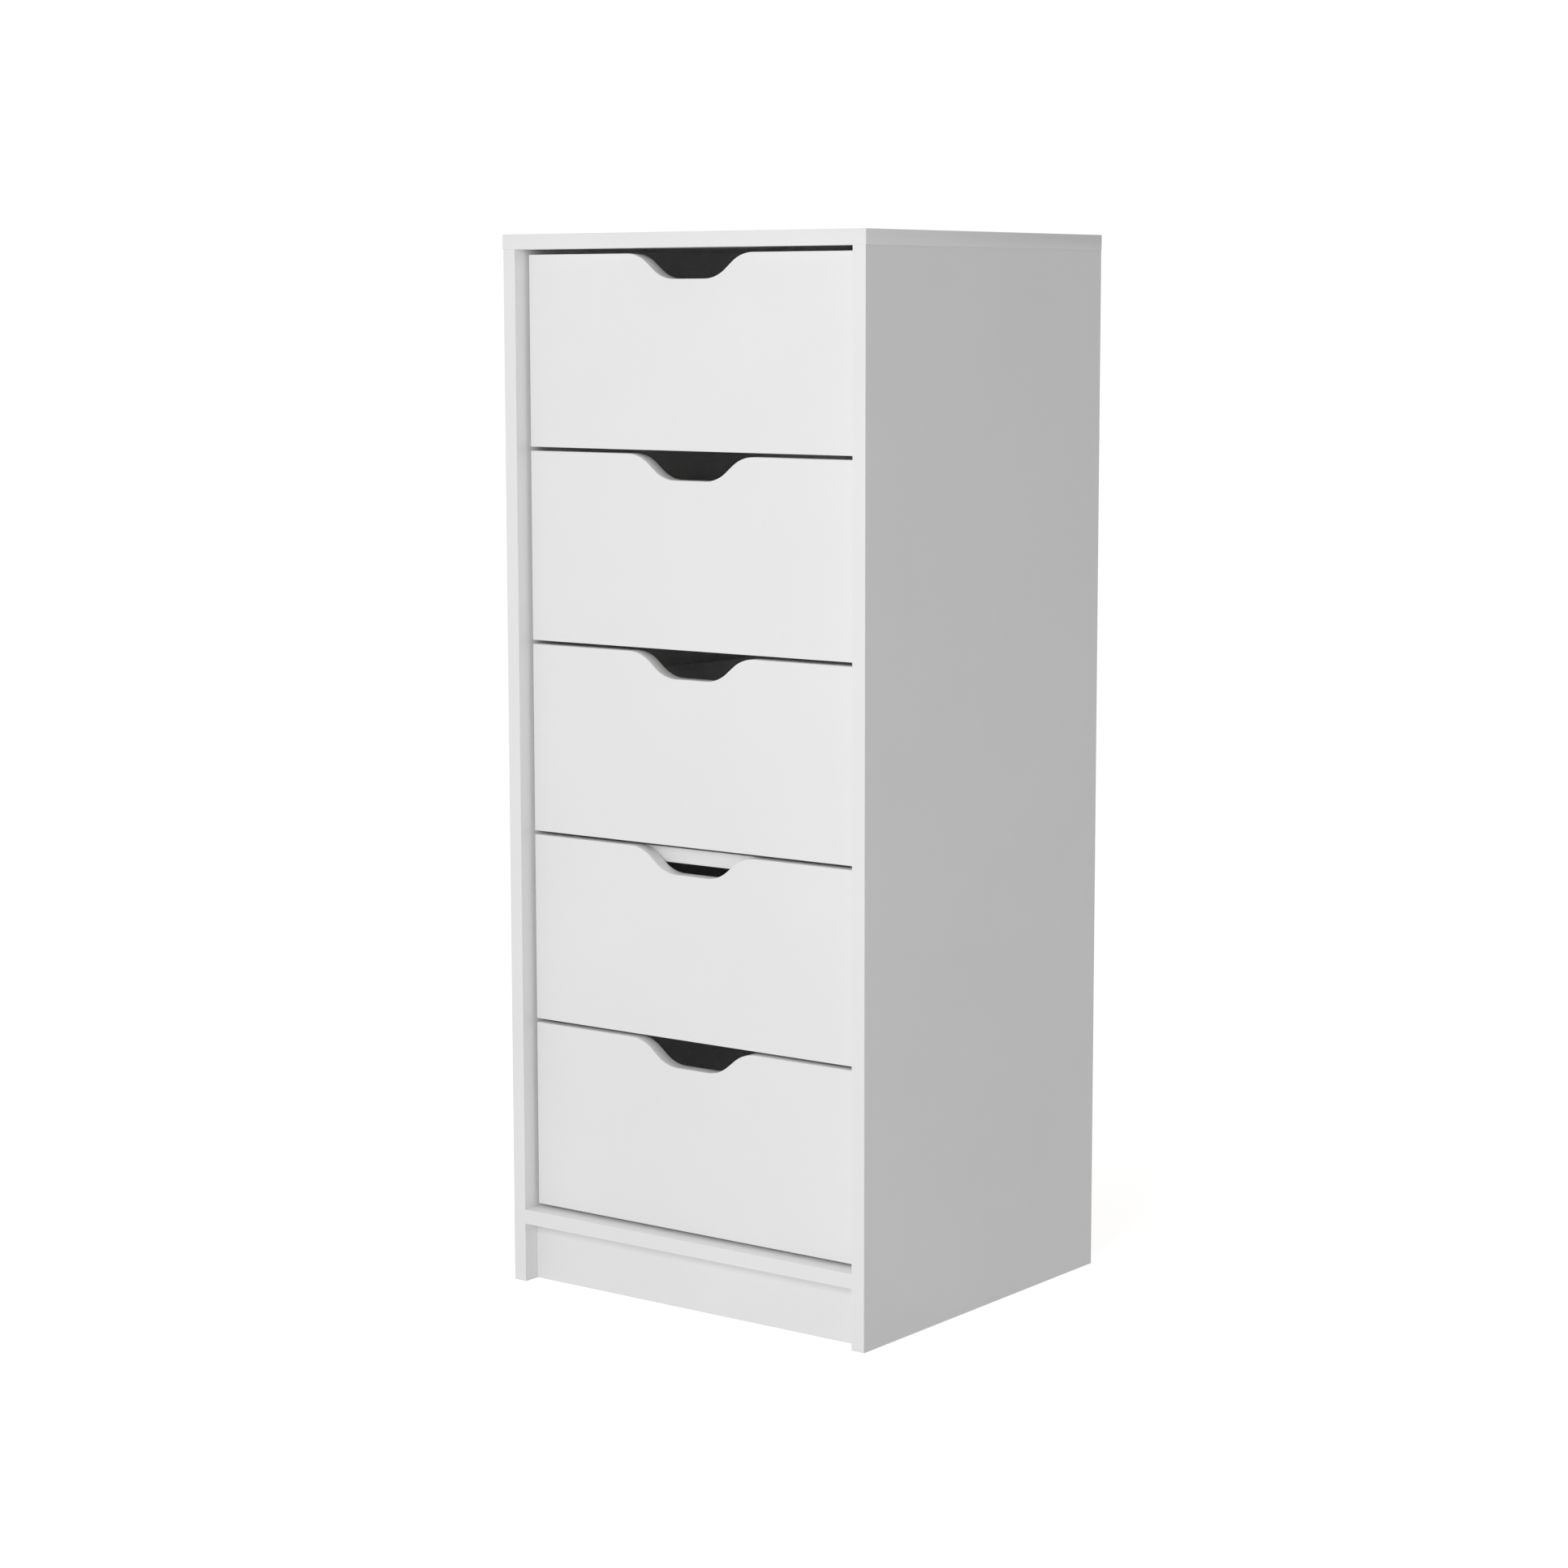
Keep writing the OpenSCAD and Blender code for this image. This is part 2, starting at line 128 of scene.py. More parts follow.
# white melamine paper pressed on board: cloudy tone, fine pearl, satin gloss
def laminateFinish(name, tone=None, gloss=None, pearl=1.0):
    finish, tree, shader, place = newFinish(name)
    tone = tone or laminate["tone"]
    gloss = gloss or laminate["gloss"]
    cloud = noiseAt(tree, place, laminate["cloudScale"], 3.0, 0.6)
    speck = noiseAt(tree, place, laminate["speckScale"], 2.0, 0.7)
    light = grey(tone + laminate["toneSpread"], laminate["warmth"])
    dark = grey(tone - laminate["toneSpread"], -laminate["warmth"])
    tint = blendTint(tree, spread(tree, cloud, 0.0, 1.0), dark, light)
    tint = blendTint(tree, spread(tree, speck, 0.0, laminate["speckShare"], 0.58, 0.80), tint,
                     grey(tone * laminate["speckTone"], 0.01))
    tree.links.new(tint, shader.inputs["Base Color"])
    scuff = noiseAt(tree, place, laminate["scuffScale"], 4.0, 0.65, 0.4)
    tree.links.new(spread(tree, scuff, gloss[0], gloss[1]), shader.inputs["Roughness"])
    wave = put(tree, "ShaderNodeBump", {
        "Height": noiseAt(tree, place, laminate["waveScale"], 1.0), "Distance": laminate["waveDepth"],
    })
    fine = put(tree, "ShaderNodeBump", {
        "Height": noiseAt(tree, place, laminate["pearlScale"], 2.0, 0.6),
        "Distance": laminate["pearlDepth"] * pearl, "Normal": wave.outputs["Normal"],
    })
    tree.links.new(fine.outputs["Normal"], shader.inputs["Normal"])
    shader.inputs["Specular IOR Level"].default_value = laminate["specular"]
    return finish


core = dict(
    chipScale=330.0, dustScale=900.0, dustShare=0.6, roughness=0.9, depth=0.00025,
    pale=(0.56, 0.42, 0.27, 1), mid=(0.40, 0.27, 0.16, 1), deep=(0.21, 0.13, 0.075, 1),
)


# raw particle board inside grooves and pockets: pressed chips, each with its own tone
def coreFinish(name):
    finish, tree, shader, place = newFinish(name)
    chips = put(tree, "ShaderNodeTexVoronoi", {"Vector": place, "Scale": core["chipScale"]})
    shade = put(tree, "ShaderNodeSeparateColor", {"Color": chips.outputs["Color"]}).outputs[0]
    dust = noiseAt(tree, place, core["dustScale"], 3.0, 0.7)
    tint = blendTint(tree, shade, core["mid"], core["pale"])
    tint = blendTint(tree, spread(tree, dust, 0.0, core["dustShare"], 0.55, 0.75), tint, core["deep"])
    tree.links.new(tint, shader.inputs["Base Color"])
    bump = put(tree, "ShaderNodeBump", {"Height": chips.outputs["Distance"], "Distance": core["depth"]})
    tree.links.new(bump.outputs["Normal"], shader.inputs["Normal"])
    shader.inputs["Roughness"].default_value = core["roughness"]
    return finish


fibre = dict(
    alongScale=700.0, acrossScale=640.0, stretch=0.22, cloudScale=9.0, cloudShare=0.35,
    fleckScale=520.0, fleckShare=0.45, gloss=(0.55, 0.75), depth=0.00006,
    pale=(0.56, 0.38, 0.23, 1), deep=(0.38, 0.235, 0.13, 1), fleck=(0.22, 0.125, 0.07, 1),
)


# unpainted side of the hardboard: matted fibres in two directions with dark flecks
def fibreFinish(name):
    finish, tree, shader, place = newFinish(name)
    along = stretched(tree, place, (1.0, 1.0, fibre["stretch"]))
    across = stretched(tree, place, (fibre["stretch"], 1.0, 1.0))
    upright = noiseAt(tree, along, fibre["alongScale"], 3.0, 0.7, 0.6)
    level = noiseAt(tree, across, fibre["acrossScale"], 3.0, 0.7, 0.6)
    mat = calc(tree, "MAXIMUM", upright, level)
    cloud = noiseAt(tree, place, fibre["cloudScale"], 4.0, 0.6)
    fleck = noiseAt(tree, along, fibre["fleckScale"], 2.0, 0.5)
    tint = blendTint(tree, spread(tree, mat, 0.0, 1.0, 0.45, 0.75), fibre["deep"], fibre["pale"])
    tint = blendTint(tree, spread(tree, cloud, 0.0, fibre["cloudShare"]), tint, fibre["deep"])
    tint = blendTint(tree, spread(tree, fleck, 0.0, fibre["fleckShare"], 0.66, 0.76), tint, fibre["fleck"])
    tree.links.new(tint, shader.inputs["Base Color"])
    bump = put(tree, "ShaderNodeBump", {"Height": mat, "Distance": fibre["depth"]})
    tree.links.new(bump.outputs["Normal"], shader.inputs["Normal"])
    tree.links.new(spread(tree, cloud, *fibre["gloss"]), shader.inputs["Roughness"])
    return finish


plastic = dict(
    tone=(0.74, 0.745, 0.74, 1), shade=(0.66, 0.665, 0.66, 1), flowScale=160.0, flowStretch=0.08,
    grainScale=1100.0, gloss=(0.28, 0.42), depth=0.00003,
)


# moulded white runner plastic with a faint flow pattern
def plasticFinish(name):
    finish, tree, shader, place = newFinish(name)
    drawn = stretched(tree, place, (1.0, plastic["flowStretch"], 1.0))
    flow = noiseAt(tree, drawn, plastic["flowScale"], 3.0, 0.55, 0.3)
    tint = blendTint(tree, spread(tree, flow, 0.0, 1.0), plastic["shade"], plastic["tone"])
    tree.links.new(tint, shader.inputs["Base Color"])
    tree.links.new(spread(tree, flow, *plastic["gloss"]), shader.inputs["Roughness"])
    grain = noiseAt(tree, place, plastic["grainScale"])
    bump = put(tree, "ShaderNodeBump", {"Height": grain, "Distance": plastic["depth"]})
    tree.links.new(bump.outputs["Normal"], shader.inputs["Normal"])
    return finish


zinc = dict(
    bright=(0.70, 0.71, 0.73, 1), plain=0.62, dull=(0.46, 0.47, 0.50, 1), crystalScale=900.0,
    wornScale=210.0, wornShare=0.8, gloss=(0.22, 0.42), depth=0.00002,
)


# zinc plate: small bright crystals, duller where it was handled
def zincFinish(name):
    finish, tree, shader, place = newFinish(name)
    crystal = put(tree, "ShaderNodeTexVoronoi", {"Vector": place, "Scale": zinc["crystalScale"]})
    grain = put(tree, "ShaderNodeSeparateColor", {"Color": crystal.outputs["Color"]}).outputs[0]
    worn = noiseAt(tree, place, zinc["wornScale"], 4.0, 0.7)
    tint = blendTint(tree, grain, zinc["bright"], grey(zinc["plain"]))
    tint = blendTint(tree, spread(tree, worn, 0.0, zinc["wornShare"]), tint, zinc["dull"])
    tree.links.new(tint, shader.inputs["Base Color"])
    tree.links.new(spread(tree, worn, *zinc["gloss"]), shader.inputs["Roughness"])
    bump = put(tree, "ShaderNodeBump", {"Height": worn, "Distance": zinc["depth"]})
    tree.links.new(bump.outputs["Normal"], shader.inputs["Normal"])
    shader.inputs["Metallic"].default_value = 1.0
    return finish


beech = dict(
    pale=(0.62, 0.42, 0.24, 1), deep=(0.42, 0.25, 0.13, 1), ray=(0.30, 0.16, 0.08, 1),
    lineScale=190.0, rayScale=1500.0, rayShare=0.6, roughness=0.62, depth=0.00005,
)


# beech dowel: straight growth lines with short dark rays
def beechFinish(name):
    finish, tree, shader, place = newFinish(name)
    lines = put(tree, "ShaderNodeTexWave", {
        "Vector": place, "Scale": beech["lineScale"], "Distortion": 3.0, "Detail": 2.0,
    }).outputs["Fac"]
    rays = noiseAt(tree, place, beech["rayScale"], 1.0)
    tint = blendTint(tree, lines, beech["deep"], beech["pale"])
    tint = blendTint(tree, spread(tree, rays, 0.0, beech["rayShare"], 0.66, 0.74), tint, beech["ray"])
    tree.links.new(tint, shader.inputs["Base Color"])
    bump = put(tree, "ShaderNodeBump", {"Height": lines, "Distance": beech["depth"]})
    tree.links.new(bump.outputs["Normal"], shader.inputs["Normal"])
    shader.inputs["Roughness"].default_value = beech["roughness"]
    return finish


whiteFace = laminateFinish("white laminate face")
whiteBand = laminateFinish("white edge band", gloss=(0.30, 0.38), pearl=0.35)
drawerFoil = laminateFinish("white drawer foil", tone=0.895, gloss=(0.44, 0.58), pearl=0.7)
lacquer = laminateFinish("white lacquered hardboard", tone=0.895, gloss=(0.34, 0.46), pearl=1.6)
rawCore = coreFinish("raw particle core")
rawFibre = fibreFinish("raw hardboard")
runnerWhite = plasticFinish("runner plastic")
zincPlate = zincFinish("zinc plate")
beechWood = beechFinish("beech dowel wood")
print("finishes ready")


mergeStep = 0.000002   # vertices closer than this are one vertex


# mesh helpers
def newPiece(name, points, faces, finishes, finishOf, smoothOf):
    mesh = bpy.data.meshes.new(name)
    mesh.from_pydata(points.reshape(-1, 3).tolist(), [], faces)
    for finish in finishes:
        mesh.materials.append(finish)
    mesh.polygons.foreach_set("material_index", np.asarray(finishOf, dtype=np.int32))
    mesh.polygons.foreach_set("use_smooth", np.asarray(smoothOf, dtype=bool))
    mesh.update()
    piece = bpy.data.objects.new(name, mesh)
    scene.collection.objects.link(piece)
    return piece


def standFor(piece, part):
    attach(piece, bodyOf[part])
    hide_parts(part)


# quads between neighbouring rows of a closed (rows, columns) grid, as index arrays
def ringQuads(rows, columns, start=0):
    row = np.arange(rows - 1)[:, None]
    column = np.arange(columns)[None, :]
    beside = (column + 1) % columns
    quads = np.stack([row * columns + column, row * columns + beside,
                      (row + 1) * columns + beside, (row + 1) * columns + column], axis=-1)
    return start + quads.reshape(-1, 4)


# outline points of a rectangle whose corners are quarter circles: corner centre + radius * (cos a, sin a)
def rectangleOutline(low, high, corner, steps=4):
    turn = np.radians(np.linspace(0, 90, steps))
    centres = np.array([[high[0] - corner, high[1] - corner], [low[0] + corner, high[1] - corner],
                        [low[0] + corner, low[1] + corner], [high[0] - corner, low[1] + corner]])
    angles = turn[None, :] + np.radians([0, 90, 180, 270])[:, None]
    arc = corner * np.stack([np.cos(angles), np.sin(angles)], axis=-1)
    return (centres[:, None, :] + arc).reshape(-1, 2)


# The outline is carried through the thickness. At height h it moves inward along its mitre by d, and
# (d, h) runs along a quarter circle of the arris radius next to each face.
def sweptBoard(name, outline, thickness, arris, place, finishes, steps=4):
    ahead = np.roll(outline, -1, axis=0) - outline
    ahead /= np.linalg.norm(ahead, axis=1)[:, None]
    normal = np.stack([ahead[:, 1], -ahead[:, 0]], axis=1)
    before = np.roll(normal, 1, axis=0)
    mitre = (before + normal) / (1 + (before * normal).sum(1))[:, None]
    turn = np.linspace(0, math.pi / 2, steps)
    inset = arris * (1 - np.sin(turn))
    height = arris * (1 - np.cos(turn))
    inset = np.concatenate([inset, inset[::-1]])
    height = np.concatenate([height, thickness - height[::-1]])
    flat = outline[None] - mitre[None] * inset[:, None, None]
    rows, columns = flat.shape[:2]
    points = place(flat[..., 0], flat[..., 1], np.broadcast_to(height[:, None], (rows, columns)))
    sides = ringQuads(rows, columns)
    near = list(range(columns))[::-1]
    far = list(range((rows - 1) * columns, rows * columns))
    faces = sides.tolist() + [near, far]
    finishOf = np.concatenate([np.ones(len(sides)), [0, 0]])
    smoothOf = np.concatenate([np.ones(len(sides)), [0, 0]])
    return newPiece(name, points, faces, finishes, finishOf, smoothOf)


# points and triangles of a part's own mesh, with vertices in the same place merged
def mergedMesh(part):
    source = parts[part].data
    corners = np.empty(len(source.vertices) * 3)
    source.vertices.foreach_get("co", corners)
    loops = np.empty(len(source.loops), dtype=np.int64)
    source.loops.foreach_get("vertex_index", loops)
    keys = np.round(corners.reshape(-1, 3) / mergeStep).astype(np.int64)
    keys, joined = np.unique(keys, axis=0, return_inverse=True)
    return keys * mergeStep, joined.reshape(-1)[loops].reshape(-1, 3)


# merged copy of a part's own mesh, with its flat triangles joined and its arrises softened
def cutPiece(part, name, arris, finishes, finishRule):
    points, triangles = mergedMesh(part)
    proper = (triangles != np.roll(triangles, 1, axis=1)).all(1)
    mesh = bpy.data.meshes.new(name)
    mesh.from_pydata(points.tolist(), [], triangles[proper].tolist())
    work = bmesh.new()
    work.from_mesh(mesh)
    bmesh.ops.dissolve_limit(work, angle_limit=math.radians(boards["flatWithin"]),
                             verts=work.verts, edges=work.edges)
    work.to_mesh(mesh)
    work.free()
    count = len(mesh.polygons)
    normals = np.empty(count * 3)
    centres = np.empty(count * 3)
    mesh.polygons.foreach_get("normal", normals)
    mesh.polygons.foreach_get("center", centres)
    low, high = points.min(0), points.max(0)
    finishOf = finishRule(normals.reshape(-1, 3), centres.reshape(-1, 3), low, high)
    for finish in finishes:
        mesh.materials.append(finish)
    mesh.polygons.foreach_set("material_index", finishOf.astype(np.int32))
    mesh.polygons.foreach_set("use_smooth", np.ones(count, dtype=bool))
    mesh.set_sharp_from_angle(angle=math.radians(boards["sharpFrom"]))
    mesh.update()
    piece = bpy.data.objects.new(name, mesh)
    scene.collection.objects.link(piece)
    soften = piece.modifiers.new("soft arris", "BEVEL")
    soften.width = arris
    soften.segments = 2
    soften.limit_method = "ANGLE"
    soften.angle_limit = math.radians(boards["softenFrom"])
    soften.harden_normals = True
    standFor(piece, part)


square, onFace = 0.99, 0.00002   # a normal along an axis, and a face lying on the board's own box


# 0 on the two broad faces, 1 on the board's outer edges, 2 in whatever is cut into it
def boardRule(thin):
    def rule(normals, centres, low, high):
        onBox = (np.abs(centres - low) < onFace) | (np.abs(centres - high) < onFace)
        outer = (np.abs(normals) > square) & onBox
        finishOf = np.full(len(normals), 2)
        finishOf[outer.any(1)] = 1
        finishOf[outer[:, thin]] = 0
        return finishOf
    return rule


# 0 on the lacquered sides, 1 on the raw edges and on a side that looks the raw way
def sheetRule(thin, raw=0):
    def rule(normals, centres, low, high):
        lacquered = (np.abs(normals[:, thin]) > square) & (normals[:, thin] * raw < 0.5)
        return np.where(lacquered, 0, 1)
    return rule


xAxis, yAxis, zAxis = 0, 1, 2

topLow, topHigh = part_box("top_panel")
topPlate = sweptBoard(
    "topPlate", rectangleOutline(topLow[:2], topHigh[:2], boards["corner"]), topHigh.z - topLow.z,
    boards["arris"], lambda u, v, w: np.stack([u, v, topLow.z + w], axis=-1), [whiteFace, whiteBand])
standFor(topPlate, "top_panel")

for part, name, thin in (("side_left", "sideBoardLeft", xAxis), ("side_right", "sideBoardRight", xAxis),
                         ("bottom_panel", "deckBoard", zAxis), ("plinth", "plinthBoard", yAxis),
                         ("cross_rail", "crossRailBoard", zAxis)):
    cutPiece(part, name, boards["cutArris"], [whiteFace, whiteBand, rawCore], boardRule(thin))
cutPiece("back_panel", "backSheet", boards["thinArris"], [lacquer, rawFibre], sheetRule(yAxis, raw=1))
print("carcass boards built")


notch = dict(depth=0.025, flat=0.038, radius=0.040, slope=39.0, steps=18)


# One half of the scoop, from the top edge inwards: a round shoulder of the radius, a straight slope, a
# hollow of the same radius, then the flat. Heights are below the top edge.
def notchHalf():
    slope = math.radians(notch["slope"])
    radius, depth, flat = notch["radius"], notch["depth"], notch["flat"] / 2
    fall = depth - 2 * radius * (1 - math.cos(slope))
    halfWidth = flat + 2 * radius * math.sin(slope) + fall / math.tan(slope)
    turn = np.linspace(0, slope, notch["steps"])
    shoulder = np.stack([halfWidth - radius * np.sin(turn), radius * (np.cos(turn) - 1)], axis=1)
    hollow = np.stack([flat + radius * np.sin(turn), radius * (1 - np.cos(turn)) - depth], axis=1)
    return np.concatenate([shoulder, hollow[::-1]])


# outline of a drawer front: the rectangle with the scoop, and its mirror image, let into the top edge
def frontOutline(low, high):
    edge = rectangleOutline((low.x, low.z), (high.x, high.z), boards["corner"])
    half = notchHalf()
    middle, top = (low.x + high.x) / 2, high.z
    right = half + [middle, top]
    left = half[::-1] * [-1, 1] + [middle, top]
    cornerPoints = len(edge) // 4
    return np.concatenate([edge[:cornerPoints], right, left, edge[cornerPoints:]])


for number in drawerNumbers:
    part = f"drawer_front_{number}"
    low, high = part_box(part)
    front = sweptBoard(
        f"drawerFace{number}", frontOutline(low, high), high.y - low.y, boards["arris"],
        lambda u, v, w: np.stack([u, high.y - w, v], axis=-1), [whiteFace, whiteBand])
    standFor(front, part)
    for side in ("left", "right"):
        cutPiece(f"drawer_side_{side}_{number}", f"drawerSide{side.capitalize()}{number}",
                 boards["cutArris"], [drawerFoil, drawerFoil, rawCore], boardRule(xAxis))
        cutPiece(f"runner_{side}_{number}", f"runner{side.capitalize()}{number}",
                 boards["cutArris"], [runnerWhite], lambda n, c, a, b: np.zeros(len(n)))
    cutPiece(f"drawer_back_{number}", f"drawerBack{number}", boards["cutArris"],
             [drawerFoil, drawerFoil, rawCore], boardRule(yAxis))
    cutPiece(f"drawer_bottom_{number}", f"drawerFloor{number}", boards["thinArris"],
             [lacquer, rawFibre], sheetRule(zAxis))
print("drawers built")


# boxes (count, low/high, xyz) of the separate solids in a part: labels spread to the lowest neighbour
def solidBoxes(part):
    points, triangles = mergedMesh(part)
    label = np.arange(len(points))
    while True:
        lowest = label[triangles].min(1)
        spreadTo = label.copy()
        for column in range(3):
            np.minimum.at(spreadTo, triangles[:, column], lowest)
        if (spreadTo == label).all():
            break
        label = spreadTo
    owners = np.unique(label[triangles[:, 0]])
    return np.array([[points[label == owner].min(0), points[label == owner].max(0)] for owner in owners])


# radius of a plus-shaped recess at an angle: the arm's end gives reach / cos, its flank gives width / sin
def crossRadius(angle, reach, width):
    local = (angle + math.pi / 4) % (math.pi / 2) - math.pi / 4
    flank = width / np.maximum(np.abs(np.sin(local)), 1e-9)
    return np.minimum(reach / np.cos(local), flank)


# Turned fixings in one mesh. A row is a circle of radius r at depth z below the head's face, and a depth
# below 0 is counted from the tip. The recess is a plus that narrows downwards. Each fixing is set on its
# solid's axis and turned by its own angle.
def turnedFixings(part, name, radii, depths, recess, headSide):
    boxes = solidBoxes(part)
    centre, size = boxes.mean(1), boxes[:, 1] - boxes[:, 0]
    axis = headSide(centre, size)
    count = len(boxes)
    tip = math.atan2(recess["width"], recess["reach"])
    local = np.array([0, tip * 0.98, tip * 1.02, (tip + math.pi / 4) / 2, math.pi / 4])
    quarter = np.concatenate([local, math.pi / 2 - local[-2:0:-1]])
    angle = (quarter[None] + np.arange(4)[:, None] * math.pi / 2).ravel()
    cross = crossRadius(angle, recess["reach"], recess["width"])
    rows = np.concatenate([[cross * recess["taper"]], [cross], np.broadcast_to(
        np.asarray(radii)[:, None], (len(radii), len(angle)))])
    down = np.concatenate([[recess["depth"], 0.0], depths])
    turn = np.arange(count) * recess["turn"]
    around = angle[None, None] + turn[:, None, None]
    along = np.take_along_axis(size, np.abs(axis).argmax(1)[:, None], axis=1)[:, 0]
    down = np.where(down[None] < 0, along[:, None] + down[None], down[None])
    first = np.roll(np.abs(axis), 1, axis=1)
    second = np.cross(axis, first)
    head = centre + axis * along[:, None] / 2
    points = (head[:, None, None] - axis[:, None, None] * down[:, :, None, None]
              + rows[None, ..., None] * (np.cos(around)[..., None] * first[:, None, None]
                                         + np.sin(around)[..., None] * second[:, None, None]))
    rowCount, columns = rows.shape
    quads = ringQuads(rowCount, columns)[:, ::-1]
    each = np.arange(count)[:, None] * rowCount * columns
    faces = (quads[None] + each[..., None]).reshape(-1, 4).tolist()
    floors = (np.arange(columns)[None] + each).tolist()
    ends = (np.arange((rowCount - 1) * columns, rowCount * columns)[None, ::-1] + each).tolist()
    finishOf = np.zeros(len(faces) + 2 * count)
    piece = newPiece(name, points, faces + floors + ends, [zincPlate], finishOf, np.ones(len(finishOf)))
    piece.data.set_sharp_from_angle(angle=math.radians(recess["sharpFrom"]))
    standFor(piece, part)


def towardsMiddle(centre, size):
    axis = np.zeros_like(centre)
    axis[:, 0] = -np.sign(centre[:, 0])
    return axis


def awayFromMiddle(centre, size):
    return -towardsMiddle(centre, size)


def rearwards(centre, size):
    return np.broadcast_to(np.array([0.0, 1.0, 0.0]), centre.shape).copy()


# a cam looks out of its pocket: its shortest side is its axis; pockets open inwards, down or to the rear
def camSide(centre, size):
    shortest = size.argmin(1)
    axis = np.zeros_like(centre)
    axis[shortest == 0, 0] = -np.sign(centre[shortest == 0, 0])
    axis[shortest == 1, 1] = 1.0
    axis[shortest == 2, 2] = -1.0
    return axis


# turned outlines, from the head's face to the tip
camTurning = dict(radii=[0.0066, 0.00715, 0.00735, 0.00735], depths=[0.0, 0.00015, 0.0005, -0.00001])
smallCamTurning = dict(radii=[0.0052, 0.0057, 0.00585, 0.00585], depths=[0.0, 0.00012, 0.0004, -0.00001])
screwTurning = dict(radii=[0.0031, 0.0035, 0.00175, 0.0015, 0.0002],
                    depths=[0.0, 0.0003, 0.0024, -0.003, -0.00001])
nailTurning = dict(radii=[0.0012, 0.0021, 0.0025, 0.0008, 0.0007, 0.0001],
                   depths=[0.0, 0.0002, 0.0006, 0.0009, -0.002, -0.00001])
camRecess = dict(reach=0.0042, width=0.0011, depth=0.0022, taper=0.72, turn=0.7, sharpFrom=35)
smallCamRecess = dict(reach=0.0034, width=0.0009, depth=0.0018, taper=0.72, turn=1.1, sharpFrom=35)
screwRecess = dict(reach=0.0020, width=0.0005, depth=0.0013, taper=0.55, turn=0.9, sharpFrom=35)
nailMark = dict(reach=0.0005, width=0.0003, depth=0.0, taper=0.8, turn=0.4, sharpFrom=35)

turnedFixings("carcass_cams", "carcassCams", **camTurning, recess=camRecess, headSide=camSide)
turnedFixings("runner_screws", "runnerScrews", **screwTurning, recess=screwRecess, headSide=towardsMiddle)
turnedFixings("back_nails", "backNails", **nailTurning, recess=nailMark, headSide=rearwards)
for number in drawerNumbers:
    turnedFixings(f"drawer_cams_{number}", f"drawerCams{number}",
                  **smallCamTurning, recess=smallCamRecess, headSide=camSide)
    turnedFixings(f"drawer_screws_{number}", f"drawerScrews{number}",
                  **screwTurning, recess=screwRecess, headSide=awayFromMiddle)
for part, finish in (("carcass_bolts", zincPlate), ("carcass_dowels", beechWood)):
    parts[part].data.materials.clear()
    parts[part].data.materials.append(finish)
print("fixings built")


view = dict(place=(2.18525, -2.93472, 1.00465), azimuth=37.0086, elevation=7.5905, roll=-0.0778,
            lens=82.025, sensor=36.0)


def addCamera():
    azimuth, elevation, roll = (math.radians(view[key]) for key in ("azimuth", "elevation", "roll"))
    back = Vector((math.sin(azimuth) * math.cos(elevation), -math.cos(azimuth) * math.cos(elevation),
                   math.sin(elevation)))
    right = (-back).cross(Vector((0, 0, 1))).normalized()
    up = back.cross(right)
    tilted = right * math.cos(roll) + up * math.sin(roll)
    axes = Matrix((tilted, back.cross(tilted), back)).transposed()
    eye = bpy.data.objects.new("camera", bpy.data.cameras.new("camera"))
    eye.data.lens, eye.data.sensor_width = view["lens"], view["sensor"]
    eye.matrix_world = Matrix.Translation(view["place"]) @ axes.to_4x4()
    scene.collection.objects.link(eye)
    scene.camera = eye


stage = dict(
    floorHalf=40.0, wallRadius=45.0, wallTop=88, around=48, rows=24,
    floorTone=0.50, floorGlow=0.74, wallGlow=1.02,
)


def stageFinish(name, tone, glow):
    finish, tree, shader, place = newFinish(name)
    cloud = noiseAt(tree, place, 0.7, 2.0)
    tree.links.new(blendTint(tree, cloud, grey(tone), grey(tone * 1.02)), shader.inputs["Base Color"])
    shader.inputs["Roughness"].default_value = 0.9
    shader.inputs["Specular IOR Level"].default_value = 0.0
    shader.inputs["Emission Color"].default_value = (1, 1, 1, 1)
    shader.inputs["Emission Strength"].default_value = glow
    return finish


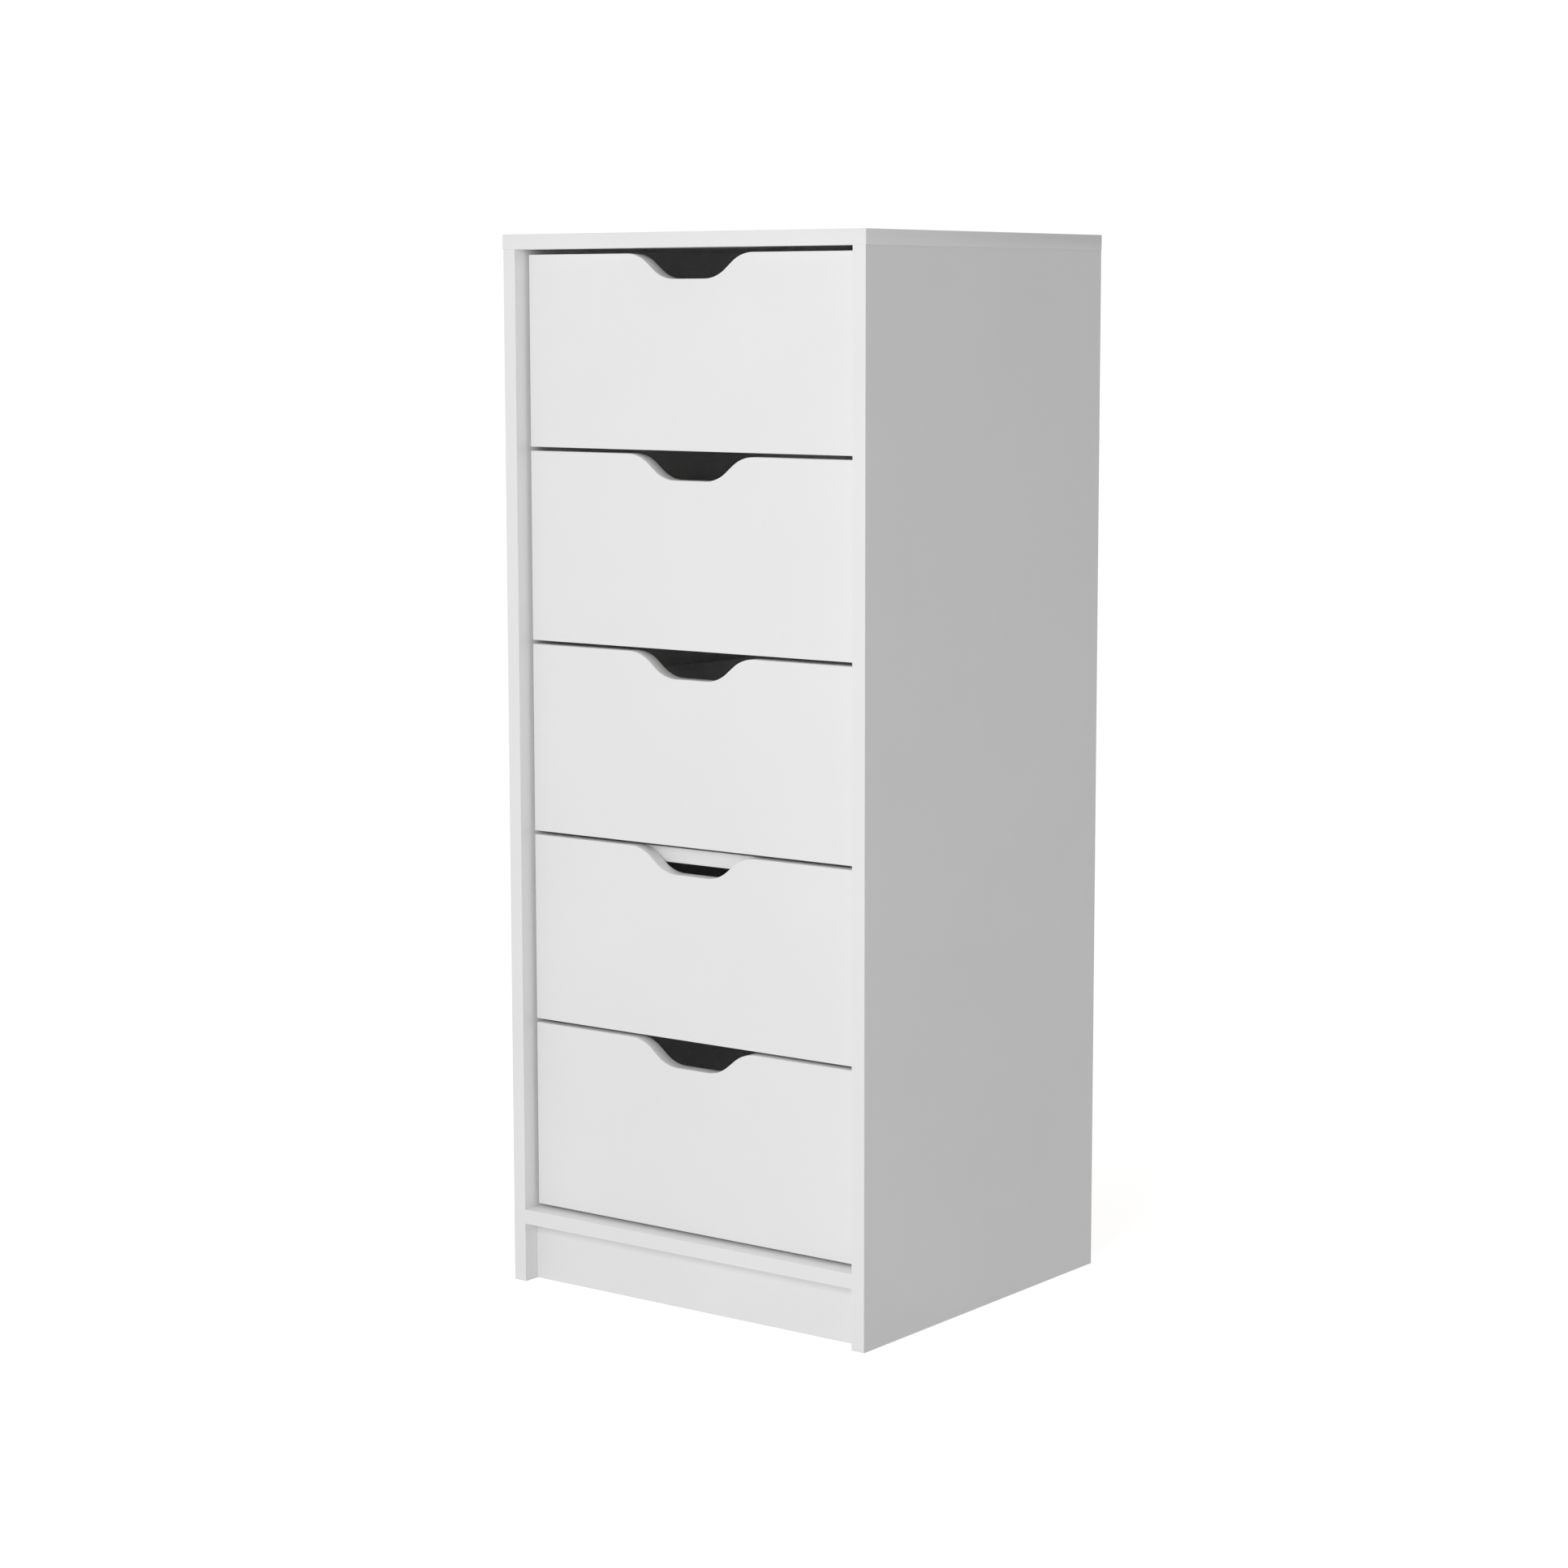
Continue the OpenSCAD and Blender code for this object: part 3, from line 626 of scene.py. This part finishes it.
# floor: a flat (u, v) grid; wall: a sphere far outside it, longitude by latitude
def addStage():
    half = stage["floorHalf"]
    u, v = np.meshgrid(np.linspace(-half, half, 3), np.linspace(-half, half, 3))
    points = np.stack([u, v, np.zeros_like(u)], axis=-1)
    quads = [[0, 1, 4, 3], [1, 2, 5, 4], [3, 4, 7, 6], [4, 5, 8, 7]]
    paint = stageFinish("floor paint", stage["floorTone"], stage["floorGlow"])
    floor = newPiece("floor", points, quads, [paint], np.zeros(4), np.zeros(4))
    around, rows = stage["around"], stage["rows"]
    longitude = np.linspace(0, 2 * math.pi, around, endpoint=False)
    latitude = np.radians(np.linspace(-stage["wallTop"], stage["wallTop"], rows))[:, None]
    radius = stage["wallRadius"]
    points = radius * np.stack([np.cos(latitude) * np.cos(longitude), np.cos(latitude) * np.sin(longitude),
                                np.sin(latitude) * np.ones_like(longitude)], axis=-1)
    rings = ringQuads(rows, around)[:, ::-1].tolist()
    rings += [list(range(around)), list(range((rows - 1) * around, rows * around))[::-1]]
    paint = stageFinish("backdrop paint", 0.0, stage["wallGlow"])
    wall = newPiece("backdrop", points, rings, [paint], np.zeros(len(rings)), np.zeros(len(rings)))
    for shown in (floor, wall):
        shown.visible_diffuse = False       # the even studio light below does the lighting
    wall.visible_glossy = False
    wall.visible_shadow = False


# Light from every side: (level + lean . direction) * (1 - fall * height) + crown * height^4, where height is
# the direction's z. It is brightest from the left and from the pale floor, with a soft crown of light above.
# A square softbox in front gives the fronts their even white.
studio = dict(level=0.495, lean=(-0.15, -0.06, 0.0), fall=0.38, crown=0.62,
              boxPlace=(0.80, -3.0, 1.45), boxAim=(0.0, 0.0, 0.55), boxSide=1.2, boxPower=33.0)


def addLight():
    world = bpy.data.worlds.new("studio light")
    world.use_nodes = True
    tree = world.node_tree
    direction = put(tree, "ShaderNodeTexCoord").outputs["Generated"]
    lean = put(tree, "ShaderNodeVectorMath", {0: direction, 1: studio["lean"]}, operation="DOT_PRODUCT")
    height = put(tree, "ShaderNodeSeparateXYZ", {0: direction}).outputs["Z"]
    around = calc(tree, "ADD", lean.outputs["Value"], studio["level"])
    ground = calc(tree, "SUBTRACT", 1.0, calc(tree, "MULTIPLY", height, studio["fall"]))
    crown = calc(tree, "POWER", calc(tree, "MAXIMUM", height, 0.0), 4.0)
    crown = calc(tree, "MULTIPLY", crown, studio["crown"])
    strength = calc(tree, "ADD", calc(tree, "MULTIPLY", around, ground), crown)
    tree.links.new(strength, tree.nodes["Background"].inputs["Strength"])
    tree.nodes["Background"].inputs["Color"].default_value = (1, 1, 1, 1)
    scene.world = world
    softbox = bpy.data.objects.new("softbox", bpy.data.lights.new("softbox", "AREA"))
    softbox.data.shape = "SQUARE"
    softbox.data.size = studio["boxSide"]
    softbox.data.energy = studio["boxPower"]
    softbox.location = studio["boxPlace"]
    softbox.visible_glossy = False
    aim = Vector(studio["boxAim"]) - softbox.location
    softbox.rotation_euler = aim.to_track_quat("-Z", "Y").to_euler()
    scene.collection.objects.link(softbox)


addCamera()
addStage()
addLight()
scene.view_settings.view_transform = "Standard"
scene.cycles.diffuse_bounces = 12   # light reaches the insides of the drawers only after many bounces
scene.cycles.max_bounces = 16
print("camera, floor and light set")
